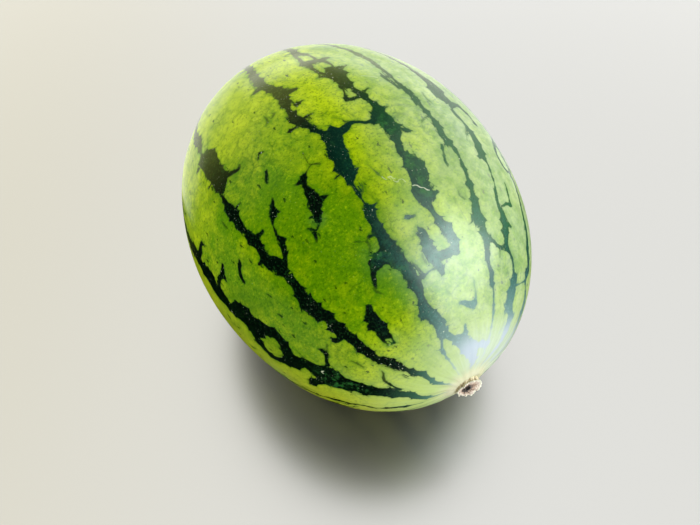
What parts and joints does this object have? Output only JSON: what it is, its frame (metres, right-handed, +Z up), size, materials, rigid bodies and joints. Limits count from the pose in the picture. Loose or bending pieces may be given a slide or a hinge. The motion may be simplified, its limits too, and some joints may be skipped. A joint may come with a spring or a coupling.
{
  "type": "watermelon",
  "caption": "Small oval striped watermelon lying on its side, with the dry broken stump of its stem.",
  "frame": {"origin": "centre of the underside's flat resting spot, straight below the middle of the fruit", "axes": "+Z up, +X towards the stem end, which dips a little; +Y across the fruit"},
  "size_m": [0.1957, 0.1516, 0.1476],
  "materials": {
    "rind": "waxy rind, yellow-green with near-black green broken stripes from end to end",
    "dry_stem": "dry, fibrous, broken off, with a dark hollow pith"
  },
  "bodies": {
    "root": {"fruit": "rind", "stem_stump": "dry_stem"}
  },
  "joints": []
}
